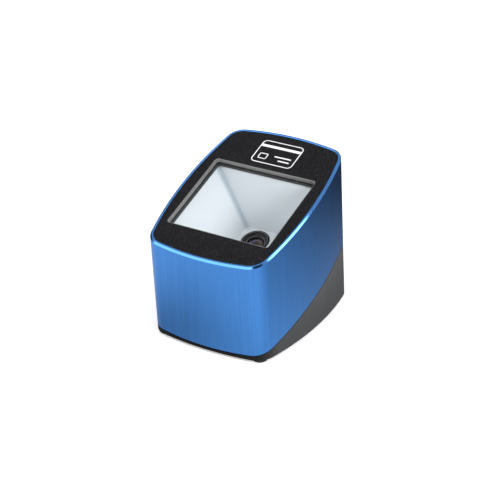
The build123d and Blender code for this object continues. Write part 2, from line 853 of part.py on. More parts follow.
def base_tray():
    """The dark wedge that carries the main board, takes the case screws and holds the inlet."""
    tray = tray_shell()
    for x, y in leg_places():
        tray = tray + rod(x, y, boss_radius, foot_height, boss_top)
    for x, y in standoff_places():
        tray = tray + rod(x, y, standoff_radius, foot_height, main_board_height)
    for x, y in leg_places():
        seat = foot_height + head_seat_height
        tray = tray - rod(x, y, case_screw[1] + head_gap, foot_height, seat)
        tray = tray - rod(x, y, case_screw[0] + clearance_gap, seat, boss_top)
    for x, y in standoff_places():
        radius = board_screw[0] + pilot_gap
        tray = tray - rod(x, y, radius, foot_height + standoff_pilot_floor + tray_floor, main_board_height)
    for x, y in foot_places():
        tray = tray - rod(x, y, foot_radius + foot_recess_gap, foot_height, foot_height + foot_recess)
    label_room = RectangleRounded(
        label_size[0] + 2 * label_recess_gap, label_size[1] + 2 * label_recess_gap, label_corner_radius
    )
    tray = tray - extrude(Pos(0, 0, foot_height) * label_room, amount=label_recess)
    slot = RectangleRounded(inlet_width + 2 * inlet_gap, inlet_height + 2 * inlet_gap, inlet_height / 2)
    tray = tray - extrude(inlet_plane(inlet_back_y) * slot, amount=inlet_length + inlet_recess_depth)
    recess = RectangleRounded(inlet_recess_width, inlet_recess_height, inlet_height / 2)
    recess_y = half_depth - inlet_recess_depth
    return tray - extrude(inlet_plane(recess_y) * recess, amount=2 * inlet_recess_depth)


def case_screws():
    """Four long screws up through the tray into the frame's legs."""
    group = Part()
    for x, y in leg_places():
        plane = Plane(origin=(x, y, foot_height + head_seat_height), x_dir=(1, 0, 0), z_dir=(0, 0, -1))
        group = group + screw(plane, case_screw, case_screw_length)
    return group


def rubber_feet():
    group = Part()
    for x, y in foot_places():
        foot = rod(x, y, foot_radius, 0, foot_height + foot_recess)
        group = group + fillet(foot.edges().sort_by(Axis.Z)[0], foot_edge_radius)
    return group


def blank_label():
    width, length, thickness = label_size
    sheet = RectangleRounded(width, length, label_corner_radius)
    top = foot_height + label_recess
    return extrude(Pos(0, 0, top - thickness) * sheet, amount=thickness)


pieces = [
    shell_sleeve, top_panel, panel_tape, panel_symbol, window_glass, window_gasket,
    light_reflector, reflector_screws, lens_barrel, lens_retaining_ring, lens_front_element,
    lens_rear_element, lens_holder, infrared_filter, image_sensor, camera_board, light_board,
    light_leds, board_spacers, camera_screws, inner_frame, ferrite_sheet, antenna_board,
    antenna_coil, main_board, processor_chip, memory_chip, radio_chip, crystal_cans,
    capacitors, buzzer, board_screws, ribbon_sockets, camera_ribbon, light_lead,
    antenna_lead, socket_shell, socket_tongue, base_tray, case_screws, rubber_feet, blank_label,
]

os.makedirs("parts", exist_ok=True)
for piece in pieces:
    export_step(piece(), f"parts/{piece.__name__}.step")
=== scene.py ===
import math

import bmesh
import bpy
from mathutils import Matrix, Vector


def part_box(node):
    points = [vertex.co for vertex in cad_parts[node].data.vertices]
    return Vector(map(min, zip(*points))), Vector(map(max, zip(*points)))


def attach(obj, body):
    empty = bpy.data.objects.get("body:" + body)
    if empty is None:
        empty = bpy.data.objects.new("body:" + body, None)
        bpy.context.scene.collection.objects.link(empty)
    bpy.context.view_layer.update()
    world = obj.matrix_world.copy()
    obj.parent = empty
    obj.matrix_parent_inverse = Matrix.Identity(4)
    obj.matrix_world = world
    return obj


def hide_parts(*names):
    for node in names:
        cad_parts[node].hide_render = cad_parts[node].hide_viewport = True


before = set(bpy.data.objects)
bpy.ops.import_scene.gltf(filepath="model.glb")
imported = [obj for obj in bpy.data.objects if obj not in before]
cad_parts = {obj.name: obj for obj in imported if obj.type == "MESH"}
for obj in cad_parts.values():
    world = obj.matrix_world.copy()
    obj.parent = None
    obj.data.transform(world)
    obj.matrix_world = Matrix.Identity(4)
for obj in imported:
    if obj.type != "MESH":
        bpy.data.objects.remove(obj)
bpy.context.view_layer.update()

bl_info = {
    "name": "Desktop card reader",
    "version": (1, 0, 0),
    "blender": (4, 5, 0),
    "location": "View3D > Sidebar > Card reader",
    "description": "Dresses the packed desktop card and code reader and sets its studio",
    "category": "Object",
}

BODY = "root"
MM = 0.001
FULL_TURN = 2 * math.pi
ON_AXIS = 1e-7


# ---- sizes, colours and studio settings that a user would change ----
def number_property(name, description, default, unit="NONE"):
    return bpy.props.FloatProperty(name=name, description=description, default=default, unit=unit)


def length_property(name, description, default):
    return bpy.props.FloatProperty(
        name=name, description=description, default=default, unit="LENGTH", precision=5
    )


def angle_property(name, description, degrees):
    return bpy.props.FloatProperty(
        name=name, description=description, default=math.radians(degrees), subtype="ANGLE", unit="ROTATION"
    )


def colour_property(name, description, default):
    return bpy.props.FloatVectorProperty(
        name=name, description=description, default=default, size=3, min=0.0, max=1.0, subtype="COLOR"
    )


class ReaderSizes(bpy.types.PropertyGroup):
    """Sizes of the reader's outside and of its lens."""

    front_bulge: length_property("Front bulge", "Radius of the bulging front and back walls", 169.0 * MM)
    side_bulge: length_property("Side bulge", "Radius of the bulging side walls", 166.0 * MM)
    corner: length_property("Corner", "Radius of the body's upright corners", 10.3 * MM)
    panel_slope: angle_property("Panel slope", "Tilt of the panel from level", 18.45)
    seam_slope: angle_property("Seam slope", "Tilt of the sleeve's lower edge from level", 19.35)
    wall: length_property("Sleeve wall", "Thickness of the metal sleeve", 3.0 * MM)
    rim: length_property("Rim", "Width of the sleeve's rim around the panel", 1.8 * MM)
    rim_bevel: length_property("Rim bevel", "Width of the bright cut bevel", 0.8 * MM)
    rim_inner_bevel: length_property("Inner bevel", "Bevel of the rim beside the panel", 0.2 * MM)
    edge_break: length_property("Edge break", "Small bevel that breaks a sharp edge", 0.12 * MM)
    panel_gap: length_property("Panel gap", "Gap between the panel and the sleeve", 0.1 * MM)
    glass_overlap: length_property("Glass overlap", "How far the glass reaches under the panel", 1.5 * MM)
    window_corner: length_property("Window corner", "Corner radius of the window opening", 1.5 * MM)
    window_bevel: length_property("Window bevel", "Width of the bevel round the window opening", 0.45 * MM)
    window_bevel_drop: length_property("Window bevel drop", "Depth of the bevel round the opening", 0.2 * MM)
    funnel_side: length_property("Funnel side", "Rim of the funnel outside the window, each side", 0.3 * MM)
    funnel_end: length_property("Funnel end", "Rim of the funnel inside the window, each end", 0.65 * MM)
    floor_half_width: length_property(
        "Funnel floor, half width", "Half the width of the funnel's floor", 10.9 * MM
    )
    floor_half_length: length_property(
        "Funnel floor, half length", "Half the length of the funnel's floor", 9.1 * MM
    )
    lens_proud: length_property("Lens proud", "How far the lens stands above the funnel's floor", 0.5 * MM)
    crease_reach: length_property("Crease reach", "How far shade reaches from the funnel's creases", 3.0 * MM)


class ReaderColours(bpy.types.PropertyGroup):
    """Base colours of the finishes that are seen."""

    sleeve_low: colour_property("Sleeve, dark", "Blue of the wall's darker streaks", (0.055, 0.2, 0.545))
    sleeve_high: colour_property("Sleeve, light", "Blue of the wall's lighter streaks", (0.092, 0.315, 0.8))
    rim_cut: colour_property("Rim", "Blue of the bright cut rim", (0.11, 0.335, 0.81))
    panel: colour_property("Panel", "Black of the panel", (0.0016, 0.0016, 0.0022))
    # Painted reflection: a grey that stands in for what the panel's polished black opening mirrors.
    cut_edge_painted_reflection: colour_property("Cut edge", "Grey of the panel's polished opening", (0.13, 0.13, 0.126))
    ink: colour_property("Ink", "White of the printed mark", (0.82, 0.83, 0.84))
    funnel: colour_property("Funnel", "White of the light funnel", (0.62, 0.65, 0.685))
    # Painted shade: the blue-grey laid along the funnel's creases.
    crease_shade: colour_property("Crease", "Blue-grey of the funnel's creases", (0.37, 0.425, 0.475))
    foam: colour_property("Foam", "Grey of the window's foam ring", (0.045, 0.045, 0.045))
    base: colour_property("Base", "Grey of the plastic base", (0.053, 0.054, 0.057))
    rubber: colour_property("Rubber", "Black of the feet", (0.018, 0.018, 0.018))
    # Painted reflection: the coating's two colours are laid at the left and right of the lens glass.
    coating_left: colour_property("Coating, violet", "Violet of the lens coating", (0.075, 0.04, 0.15))
    coating_right: colour_property("Coating, brown", "Red-brown of the lens coating", (0.085, 0.035, 0.03))


class ReaderStudio(bpy.types.PropertyGroup):
    """Camera, lights and floor."""

    azimuth: angle_property("Azimuth", "Camera's turn from the front towards +X", 34.472)
    elevation: angle_property("Elevation", "Camera's height angle", 28.358)
    roll: angle_property("Roll", "Camera's roll", -3.054)
    distance: length_property("Distance", "Camera's distance from its target", 862.06 * MM)
    target_height: length_property("Target height", "Height of the point the camera is set out from", 46.8 * MM)
    slide_right: length_property("Slide right", "Camera's offset along its own X", 1.0956 * MM)
    slide_up: length_property("Slide up", "Camera's offset along its own Y", -7.8534 * MM)
    shift_right: number_property("Shift right", "Camera's lens shift along its own X", -0.001)
    shift_up: number_property("Shift up", "Camera's lens shift along its own Y", 0.001)
    focal_length: number_property("Focal length", "Lens of the camera in millimetres", 117.27)
    floor_colour: colour_property("Floor", "Colour of the floor", (0.93, 0.93, 0.935))
    key_power: number_property("Key", "Power of the key light", 10.5, "POWER")
    top_power: number_property("Top", "Power of the top light", 1.2, "POWER")
    side_power: number_property("Side", "Power of the side light", 1.1, "POWER")
    fill_power: number_property("Fill", "Power of the fill light", 11.5, "POWER")
    sky: number_property("Sky", "Strength of the even light all round", 0.62)
    floor_glow: number_property("Floor glow", "Light the floor gives by itself", 0.3)
    table_near: number_property("Table", "Table's brightness under the reader", 0.74)
    table_peak: number_property("Table peak", "Table's greatest brightness", 1.1)
    table_fall: number_property("Table fall", "Loss of brightness per metre towards the back", 3.9)


# Each light's name, place in metres and size. Its power is the studio setting of the same name.
LIGHTS = (
    ("key", (-0.6, -0.85, 0.85), 1.6),
    ("top", (0.25, -0.35, 1.1), 0.7),
    ("side", (0.67, 0.17, 0.72), 0.3),
    ("fill", (1.0, -0.3, 0.52), 0.5),
)
UNMIRRORED_LIGHT = "fill"

# Dark patches of the sky: which way each lies, and the cosines of the angles from there at which it
# starts and at which it is darkest.
DARK_PATCHES = (
    ((0.37, -0.55, 0.75), 0.93, 0.985),
    ((-0.93, 0.3, 0.12), 0.78, 0.95),
)
PATCH_DEPTH = 0.93

FLOOR_REACH = 4.0
TABLE_REACH = 3.0
TABLE_DROP = 0.1 * MM
TABLE_LEAST = 0.06
TABLE_FALL_WAY = (0.1, 0.995, 0.0)

# The reader's own shade on the table: its middle, how far it reaches and how much light it takes.
SHADE_PLACE = (-35.0 * MM, -60.0 * MM, 0.0)
SHADE_REACH = 85.0 * MM
SHADE_DEPTH = 0.5


# ---- shader nodes ----
class Field:
    """A varying number in a material that takes part in Python expressions."""

    def __init__(self, surface, socket):
        self.surface = surface
        self.socket = socket

    def _math(self, operation, first, second):
        return self.surface.node("ShaderNodeMath", {"operation": operation}, {0: first, 1: second})

    def __add__(self, other):
        return self._math("ADD", self, other)

    __radd__ = __add__

    def __sub__(self, other):
        return self._math("SUBTRACT", self, other)

    def __rsub__(self, other):
        return self._math("SUBTRACT", other, self)

    def __mul__(self, other):
        return self._math("MULTIPLY", self, other)

    __rmul__ = __mul__

    def __truediv__(self, other):
        return self._math("DIVIDE", self, other)

    def __pow__(self, other):
        return self._math("POWER", self, other)

    def lesser(self, other):
        return self._math("MINIMUM", self, other)

    def magnitude(self):
        return self.surface.node("ShaderNodeMath", {"operation": "ABSOLUTE"}, {0: self})

    def clamped(self, low, high):
        """The field's part between two values, stretched to run from 0 to 1."""
        settings = {"interpolation_type": "SMOOTHSTEP"}
        sockets = {"Value": self, "From Min": low, "From Max": high}
        return self.surface.node("ShaderNodeMapRange", settings, sockets)


class Shading:
    """A tree of shader nodes under construction."""

    def __init__(self, tree):
        self.tree = tree

    def node(self, kind, settings=None, sockets=None, output=0):
        """Adds a node: its settings first, then the values or links of its sockets."""
        made = self.tree.nodes.new(kind)
        for key, value in (settings or {}).items():
            if key == "stops":
                self.set_stops(made.color_ramp, value)
            else:
                setattr(made, key, value)
        for key, value in (sockets or {}).items():
            self.feed(made.inputs[key], value)
        return Field(self, made.outputs[output])

    def set_stops(self, ramp, stops):
        while len(ramp.elements) < len(stops):
            ramp.elements.new(1.0)
        for element, (place, colour) in zip(ramp.elements, stops):
            element.position = place
            element.color = (*colour, 1.0)

    def feed(self, socket, value):
        if isinstance(value, Field):
            self.tree.links.new(value.socket, socket)
        elif socket.type == "RGBA" and len(value) == 3:
            socket.default_value = (*value, 1.0)
        else:
            socket.default_value = value

    def mix(self, share, first, second):
        settings = {"data_type": "RGBA"}
        return self.node("ShaderNodeMix", settings, {0: share, 6: first, 7: second}, 2)

    def vector_math(self, operation, first, second, output="Vector"):
        return self.node("ShaderNodeVectorMath", {"operation": operation}, {0: first, 1: second}, output)


class Surface(Shading):
    """A material under construction."""

    def __init__(self, name):
        self.material = bpy.data.materials.new(name)
        self.material.use_nodes = True
        super().__init__(self.material.node_tree)
        self.shader = self.tree.nodes["Principled BSDF"]
        self.output = self.tree.nodes["Material Output"]

    def place(self):
        """Where a point is on the object, in metres."""
        return self.node("ShaderNodeTexCoord", output="Object")

    def coordinates(self):
        """A point's X, Y and Z on the object, each a varying number."""
        split = self.node("ShaderNodeSeparateXYZ", {}, {0: self.place()}).socket.node
        return [Field(self, split.outputs[axis]) for axis in "XYZ"]

    def mirrored_place(self):
        """Where a point is, with the -X half folded onto the +X half."""
        x, y, z = self.coordinates()
        return self.node("ShaderNodeCombineXYZ", {}, {"X": x.magnitude(), "Y": y, "Z": z})

    def from_axis(self):
        """How far a point is from the object's own Z axis."""
        flat = self.vector_math("MULTIPLY", self.place(), (1.0, 1.0, 0.0))
        return self.node("ShaderNodeVectorMath", {"operation": "LENGTH"}, {0: flat}, "Value")

    def from_line(self, place, start, end):
        """How far a place is from the line through two points."""
        offset = self.vector_math("SUBTRACT", place, start)
        square = self.vector_math("CROSS_PRODUCT", offset, (end - start).normalized())
        return self.node("ShaderNodeVectorMath", {"operation": "LENGTH"}, {0: square}, "Value")

    def stretched(self, scale):
        return self.node("ShaderNodeMapping", {}, {"Vector": self.place(), "Scale": scale})

    def noise(self, per_metre, detail=2.0, stretch=(1.0, 1.0, 1.0), roughness=0.5):
        sockets = {"Scale": per_metre, "Detail": detail, "Roughness": roughness}
        return self.node("ShaderNodeTexNoise", {}, {"Vector": self.stretched(stretch), **sockets})

    def cells(self, per_metre):
        return self.node("ShaderNodeTexVoronoi", {}, {"Vector": self.place(), "Scale": per_metre})

    def along(self, direction):
        """How far a point lies along a direction, in metres."""
        return self.vector_math("DOT_PRODUCT", self.place(), direction, "Value")

    def bump(self, height, distance, strength=1.0):
        return self.node("ShaderNodeBump", {}, {"Height": height, "Distance": distance, "Strength": strength})

    def set(self, **values):
        """Sets the surface shader's own sockets, with _ for the spaces in their names."""
        for key, value in values.items():
            self.feed(self.shader.inputs[key.replace("_", " ")], value)
        return self.material


def shaded(colour, factor):
    return tuple(min(1.0, channel * factor) for channel in colour)


def moulded(name, colour, roughness, grain=2600.0, depth=0.02 * MM, mottle=0.12, speck=1.6):
    """Moulded plastic or rubber: a fine eroded grain, a faint mottle and worn patches."""
    surface = Surface(name)
    fine = surface.noise(grain, 3.0)
    broad = surface.noise(60.0, 3.0)
    tone = surface.mix(broad.clamped(0.3, 0.7), shaded(colour, 1 - mottle), shaded(colour, 1 + mottle))
    tone = surface.mix(fine.clamped(0.35, 0.75) * 0.35, tone, shaded(colour, speck))
    return surface.set(
        Base_Color=tone,
        Roughness=roughness + 0.12 * (broad - 0.5) + 0.1 * (fine - 0.5),
        Normal=surface.bump(fine, depth),
    )


def base_plastic(colours, front):
    """The base's eroded plastic, with a painted shadow deepest along its front edge and painted shade that is
    darkest near the desk and paler higher up.
    """
    surface = Surface("base_grey")
    grey = tuple(colours.base)
    front_shadow_reach = 17 * MM
    fine = surface.noise(2000.0, 3.0)
    broad = surface.noise(60.0, 3.0)
    back, height = surface.coordinates()[1:]
    # Painted shade: darker near the desk and paler with height, with a random broad mottle on top.
    height_shade_and_mottle = 0.68 + 0.4 * height.clamped(4 * MM, 40 * MM) + 0.14 * (broad - 0.5)
    tone = surface.mix(fine.clamped(0.35, 0.75) * 0.3 * height_shade_and_mottle, grey, shaded(grey, 2.4))
    tone = surface.mix(height_shade_and_mottle.clamped(0.0, 1.12), (0.0, 0.0, 0.0), tone)
    # Painted shadow: the grey turns near black along the base's front edge.
    return surface.set(
        Base_Color=surface.mix(back.clamped(front, front + front_shadow_reach), shaded(grey, 0.06), tone),
        Roughness=0.6 + 0.12 * (broad - 0.5) + 0.1 * (fine - 0.5),
        Specular_IOR_Level=0.15,
        Normal=surface.bump(fine, 0.1 * MM),
    )


def plated(name, colour, roughness, grain=3000.0, stretch=(1.0, 1.0, 1.0), depth=0.004 * MM):
    """Bare or plated metal with fine working marks and dull spots."""
    surface = Surface(name)
    marks = surface.noise(grain, 2.0, stretch)
    dull = surface.noise(240.0, 3.0)
    tone = surface.mix(dull.clamped(0.35, 0.7), colour, shaded(colour, 0.78))
    return surface.set(
        Base_Color=tone,
        Metallic=1.0,
        Roughness=roughness + 0.16 * (dull - 0.5) + 0.1 * (marks - 0.5),
        Normal=surface.bump(marks, depth),
    )


def brushed_sleeve(colours):
    """Blue anodised aluminium, brushed from top to bottom."""
    surface = Surface("blue_brushed")
    hair = surface.noise(5200.0, 2.0, (1.0, 1.0, 0.012))
    streak = surface.noise(1500.0, 3.0, (1.0, 1.0, 0.01))
    band = surface.noise(330.0, 2.0, (1.0, 1.0, 0.02))
    cloud = surface.noise(26.0, 2.0)
    share = hair * 0.35 + streak * 0.35 + band * 0.12 + cloud * 0.18
    tone = surface.mix(share.clamped(0.12, 0.88), tuple(colours.sleeve_low), tuple(colours.sleeve_high))
    return surface.set(
        Base_Color=tone,
        Metallic=1.0,
        Roughness=0.34 + 0.12 * (streak - 0.5) + 0.1 * (cloud - 0.5),
        Normal=surface.bump(hair * 0.6 + streak * 0.4, 0.012 * MM),
    )


def cut_rim(colours):
    """The rim's diamond-cut bevel and lip, coloured as the sleeve but bright."""
    surface = Surface("blue_cut")
    marks = surface.noise(4200.0, 2.0)
    cloud = surface.noise(90.0, 2.0)
    blue = tuple(colours.rim_cut)
    return surface.set(
        Base_Color=surface.mix(cloud.clamped(0.3, 0.7), shaded(blue, 0.86), blue),
        Metallic=1.0,
        Roughness=0.12 + 0.08 * (cloud - 0.5) + 0.05 * (marks - 0.5),
        Normal=surface.bump(marks, 0.003 * MM),
    )


def panel_black(colours):
    """Black panel with a fine leathery texture, and a few faint worn patches."""
    surface = Surface("panel_black")
    grain = surface.cells(2300.0)
    fine = surface.noise(5200.0, 2.0)
    speck = surface.noise(1900.0, 2.0)
    rub = surface.noise(34.0, 4.0)
    black = tuple(colours.panel)
    tone = surface.mix(rub.clamped(0.45, 0.75), black, shaded(black, 1.5))
    tone = surface.mix(speck.clamped(0.52, 0.75), tone, shaded(black, 22.0))
    return surface.set(
        Base_Color=tone,
        Roughness=0.46 + 0.2 * (rub - 0.5) + 0.1 * (fine - 0.5),
        Specular_IOR_Level=0.17,
        Normal=surface.bump(grain * 0.7 + fine * 0.3, 0.09 * MM),
    )


def clear_glass():
    """Window glass: open to light, with a mirror share that grows at grazing angles and faint haze spots."""
    surface = Surface("window_clear")
    dust = surface.noise(900.0, 4.0)
    facing = surface.node("ShaderNodeLayerWeight", {}, {"Blend": 0.5}, "Facing")
    mirror = surface.node("ShaderNodeBsdfGlossy", {}, {"Color": (1.0, 1.0, 1.0), "Roughness": 0.04})
    through = surface.node("ShaderNodeBsdfTransparent", {}, {"Color": (0.975, 0.985, 0.985)})
    share = 0.006 + 0.9 * facing**5 + 0.003 * dust.clamped(0.55, 0.8)
    both = surface.node("ShaderNodeMixShader", {}, {0: share, 1: through, 2: mirror})
    surface.tree.links.new(both.socket, surface.output.inputs["Surface"])
    surface.tree.nodes.remove(surface.shader)
    return surface.material


def funnel_white(colours, plan):
    """Satin white moulding with a faint flow mottle, and painted shade along its creases."""
    surface = Surface("funnel_white")
    flow = surface.noise(45.0, 3.0)
    fine = surface.noise(3000.0, 2.0)
    white = tuple(colours.funnel)
    # Painted shade: the white darkens towards the nearest of the creases.
    nearest = None
    for rim, floor in plan.creases():
        distance = surface.from_line(surface.mirrored_place(), rim, floor)
        nearest = distance if nearest is None else nearest.lesser(distance)
    tone = surface.mix(flow.clamped(0.3, 0.7), shaded(white, 0.975), white)
    return surface.set(
        Base_Color=surface.mix(nearest.clamped(0.0, plan.sizes.crease_reach), tuple(colours.crease_shade), tone),
        Roughness=0.5 + 0.08 * (flow - 0.5),
        Normal=surface.bump(fine, 0.006 * MM),
    )


# Radius and height of each corner of a turned piece's section, in millimetres. The lens's top is at 0.
BARREL_PROFILE = (
    (8.0, -6.0), (8.0, -0.32), (7.9, -0.1), (7.68, 0.0), (6.98, 0.0), (6.9, -0.08),
    (6.9, -0.5), (6.49, -0.5), (6.45, -0.54), (6.45, -0.95), (6.05, -0.95), (6.0, -1.0),
    (6.0, -1.4), (5.24, -1.4), (5.2, -1.44), (5.2, -4.3), (4.2, -4.3), (4.2, -12.0),
    (4.9, -12.0), (4.9, -14.6), (6.0, -14.6), (6.0, -6.0),
)
RING_PROFILE = ((5.15, -2.5), (5.15, -1.56), (5.09, -1.5), (4.42, -1.5), (4.3, -1.62), (4.3, -2.2))

# Painted highlights and shade on the lens's stepped face: lighter rings where light would catch a step, near
# black between, against their share of its radius.
LENS_PAINTED_TIER_LIGHT = (
    (0.62, (0.003, 0.003, 0.003)), (0.64, (0.17, 0.17, 0.17)), (0.67, (0.14, 0.14, 0.145)),
    (0.69, (0.002, 0.002, 0.003)), (0.74, (0.002, 0.002, 0.003)), (0.765, (0.08, 0.08, 0.085)),
    (0.79, (0.04, 0.04, 0.044)), (0.81, (0.001, 0.001, 0.002)), (0.855, (0.004, 0.004, 0.005)),
    (0.87, (0.17, 0.17, 0.18)), (0.895, (0.13, 0.13, 0.14)), (0.91, (0.001, 0.001, 0.002)),
)


def lens_black():
    """Black turned metal: fine rings round the lens axis, with painted highlights as lighter rings on its
    stepped face.
    """
    surface = Surface("lens_black")
    radius = surface.from_axis()
    rings = surface.node("ShaderNodeTexNoise", {"noise_dimensions": "1D"}, {"W": radius, "Scale": 9000.0})
    dull = surface.noise(700.0, 2.0)
    share = radius / (BARREL_PROFILE[0][0] * MM)
    # Painted highlights: lighter rings laid by radius on the black.
    painted_tier_light = surface.node("ShaderNodeValToRGB", {"stops": LENS_PAINTED_TIER_LIGHT}, {"Fac": share})
    return surface.set(
        Base_Color=surface.mix(0.2 * dull.clamped(0.35, 0.7), painted_tier_light, (0.012, 0.012, 0.013)),
        Roughness=0.26 + 0.12 * (dull - 0.5) + 0.1 * (rings - 0.5),
        Specular_IOR_Level=0.08,
        Normal=surface.bump(rings, 0.008 * MM),
    )


def coated_lens(colours):
    """Dark glass whose coating runs from violet at the left to red-brown at the right as painted reflections,
    with painted shade darkest over its middle and towards its rim.
    """
    surface = Surface("lens_coating")
    across = surface.coordinates()[0]
    radius = surface.from_axis()
    # Painted reflection: violet at the left, red-brown at the right.
    side = across.clamped(-2.6 * MM, 2.2 * MM)
    painted_reflection_tint = surface.mix(side, tuple(colours.coating_left), tuple(colours.coating_right))
    # Painted shade: darkest over the middle, and darker again towards the rim.
    painted_dark_middle = radius.clamped(0.9 * MM, 2.9 * MM)
    rim = radius.clamped(3.6 * MM, 4.1 * MM)
    tone = surface.mix(painted_dark_middle, (0.002, 0.002, 0.003), painted_reflection_tint)
    tone = surface.mix(rim, tone, (0.01, 0.01, 0.014))
    return surface.set(
        Base_Color=tone,
        Metallic=0.85,
        Roughness=0.07 + 0.02 * surface.noise(1500.0, 2.0),
        Coat_Weight=1.0,
        Coat_Roughness=0.02,
    )


def board_green(name):
    """Circuit board: green mask over a maze of tracks."""
    surface = Surface(name)
    settings = {"distance": "MANHATTAN", "feature": "F1"}
    sockets = {"Vector": surface.place(), "Scale": 420.0}
    tracks = surface.node("ShaderNodeTexVoronoi", settings, sockets)
    mask = tracks.clamped(0.3, 0.36)
    tone = surface.mix(mask, (0.035, 0.24, 0.09), (0.012, 0.12, 0.045))
    return surface.set(
        Base_Color=tone,
        Roughness=0.32 + 0.2 * (surface.noise(500.0, 2.0) - 0.5),
        Normal=surface.bump(1 - mask, 0.02 * MM),
    )


# ---- where things are ----
def span(node, direction):
    """The lowest and highest places of a node along a direction."""
    reach = [vertex.co.dot(direction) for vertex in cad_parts[node].data.vertices]
    return min(reach), max(reach)


class Layout:
    """Planes, outlines and frames that the pieces share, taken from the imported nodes."""

    def __init__(self, sizes):
        self.sizes = sizes
        low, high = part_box("shell_sleeve")
        self.half_width = high.x
        self.half_depth = high.y
        slope = sizes.panel_slope
        self.normal = Vector((0, -math.sin(slope), math.cos(slope)))
        self.uphill = Vector((0, math.cos(slope), math.sin(slope)))
        self.face = span("top_panel", self.normal)[1]
        slope = sizes.seam_slope
        self.seam_normal = Vector((0, -math.sin(slope), math.cos(slope)))
        self.seam = span("shell_sleeve", self.seam_normal)[0]
        self.side_centre = self.half_width - sizes.side_bulge
        self.end_centre = self.half_depth - sizes.front_bulge
        self.corner_centre = self.find_corner()
        corner = self.corner_centre
        self.side_end = math.atan2(corner.y, corner.x - self.side_centre)
        self.end_start = math.atan2(corner.y - self.end_centre, corner.x)

    def find_corner(self):
        """The centre that the corner's arc shares with every inset of the outline."""
        side = self.sizes.side_bulge - self.sizes.corner
        end = self.sizes.front_bulge - self.sizes.corner
        start = Vector((self.side_centre, 0))
        across = Vector((0, self.end_centre)) - start
        gap = across.length
        foot = (side**2 - end**2 + gap**2) / (2 * gap)
        rise = math.sqrt(side**2 - foot**2)
        across.normalize()
        return start + across * foot + Vector((-across.y, across.x)) * rise

    def angles(self):
        """Directions of the outline's outward normals, denser at the corners."""
        first = []
        wall_steps, corner_steps = 16, 18
        legs = (
            (0.0, self.side_end, wall_steps),
            (self.side_end, self.end_start, corner_steps),
            (self.end_start, math.pi / 2, wall_steps),
        )
        for start, end, steps in legs:
            first += [start + (end - start) * step / steps for step in range(steps)]
        first.append(math.pi / 2)
        second = [math.pi - angle for angle in reversed(first[:-1])]
        third = [math.pi + angle for angle in first[1:]]
        fourth = [FULL_TURN - angle for angle in reversed(first[1:-1])]
        return first + second + third + fourth

    def outline(self, inset, height):
        """The plan drawn in by the inset, at a height given for each point."""
        points = []
        for angle in self.angles():
            turn = math.atan2(abs(math.sin(angle)), abs(math.cos(angle)))
            if turn <= self.side_end:
                centre, radius = Vector((self.side_centre, 0)), self.sizes.side_bulge
            elif turn < self.end_start:
                centre, radius = self.corner_centre, self.sizes.corner
            else:
                centre, radius = Vector((0, self.end_centre)), self.sizes.front_bulge
            x = math.copysign(centre.x + (radius - inset) * math.cos(turn), math.cos(angle))
            y = math.copysign(centre.y + (radius - inset) * math.sin(turn), math.sin(angle))
            points.append(Vector((x, y, height(x, y))))
        return points

    def panel_at(self, depth, drop=0.0):
        """Height of the plane that lies a depth under the panel's face, and a drop straight below that."""
        return lambda x, y: (self.face - depth - y * self.normal.y) / self.normal.z - drop

    def seam_at(self, drop):
        """Height of the plane that lies a drop under the sleeve's lower edge."""
        return lambda x, y: (self.seam - drop - y * self.seam_normal.y) / self.seam_normal.z

    def on_panel(self, x, rise, depth):
        return Vector((x, 0, 0)) + self.uphill * rise + self.normal * (self.face - depth)

    def window(self):
        """The window's rise, width and length."""
        overlap = 2 * self.sizes.glass_overlap
        left, right = span("window_glass", Vector((1, 0, 0)))
        low, high = span("window_glass", self.uphill)
        return (low + high) / 2, right - left - overlap, high - low - overlap

    def lens_top(self):
        """The lens's rise and the depth of its top."""
        low, high = span("infrared_filter", self.uphill)
        return (low + high) / 2, self.face - span("lens_barrel", self.normal)[1]

    def lens_frame(self):
        """Local frame whose origin is the top of the lens and whose Z points out of the window."""
        across = Vector((1, 0, 0))
        turn = Matrix((across, self.uphill, self.normal)).transposed().to_4x4()
        rise, top = self.lens_top()
        return Matrix.Translation(self.on_panel(0, rise, top)) @ turn

    def creases(self):
        """Top and bottom ends of the funnel's creases on the +X side."""
        sizes = self.sizes
        window_rise, width, length = self.window()
        lens_rise, lens_top = self.lens_top()
        top = self.face - span("light_reflector", self.normal)[1]
        lines = []
        for end in (-1, 1):
            rim_rise = window_rise + end * (length / 2 - sizes.funnel_end)
            rim = self.on_panel(width / 2 + sizes.funnel_side, rim_rise, top)
            floor_rise = lens_rise + end * sizes.floor_half_length
            floor = self.on_panel(sizes.floor_half_width, floor_rise, lens_top + sizes.lens_proud)
            lines.append((rim, floor))
        return lines


def layout():
    return Layout(bpy.context.scene.reader_sizes)


# ---- mesh helpers ----
def piece(name, mesh, materials, replaced, place=None):
    """Puts a finished mesh in the scene, on the reader's body."""
    made = bpy.data.objects.new(name, mesh)
    bpy.context.scene.collection.objects.link(made)
    for material in materials:
        mesh.materials.append(material)
    if place is not None:
        made.matrix_world = place
    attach(made, BODY)
    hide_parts(*replaced)
    return made


def finish_mesh(name, work, sharp_angle=math.radians(28)):
    """Turns a bmesh into a mesh with smooth faces and sharp edges."""
    bmesh.ops.recalc_face_normals(work, faces=work.faces)
    for face in work.faces:
        face.smooth = True
    mesh = bpy.data.meshes.new(name)
    work.to_mesh(mesh)
    work.free()
    mesh.set_sharp_from_angle(angle=sharp_angle)
    return mesh


def add_loop(work, points):
    return [work.verts.new(point) for point in points]


def join_loops(work, first, second, material_index=0):
    count = len(first)
    for index in range(count):
        after = (index + 1) % count
        face = work.faces.new((first[index], first[after], second[after], second[index]))
        face.material_index = material_index


def loop_edges(work, loop):
    edges = []
    for index, vertex in enumerate(loop):
        ends = (vertex, loop[(index + 1) % len(loop)])
        edges.append(work.edges.get(ends) or work.edges.new(ends))
    return edges


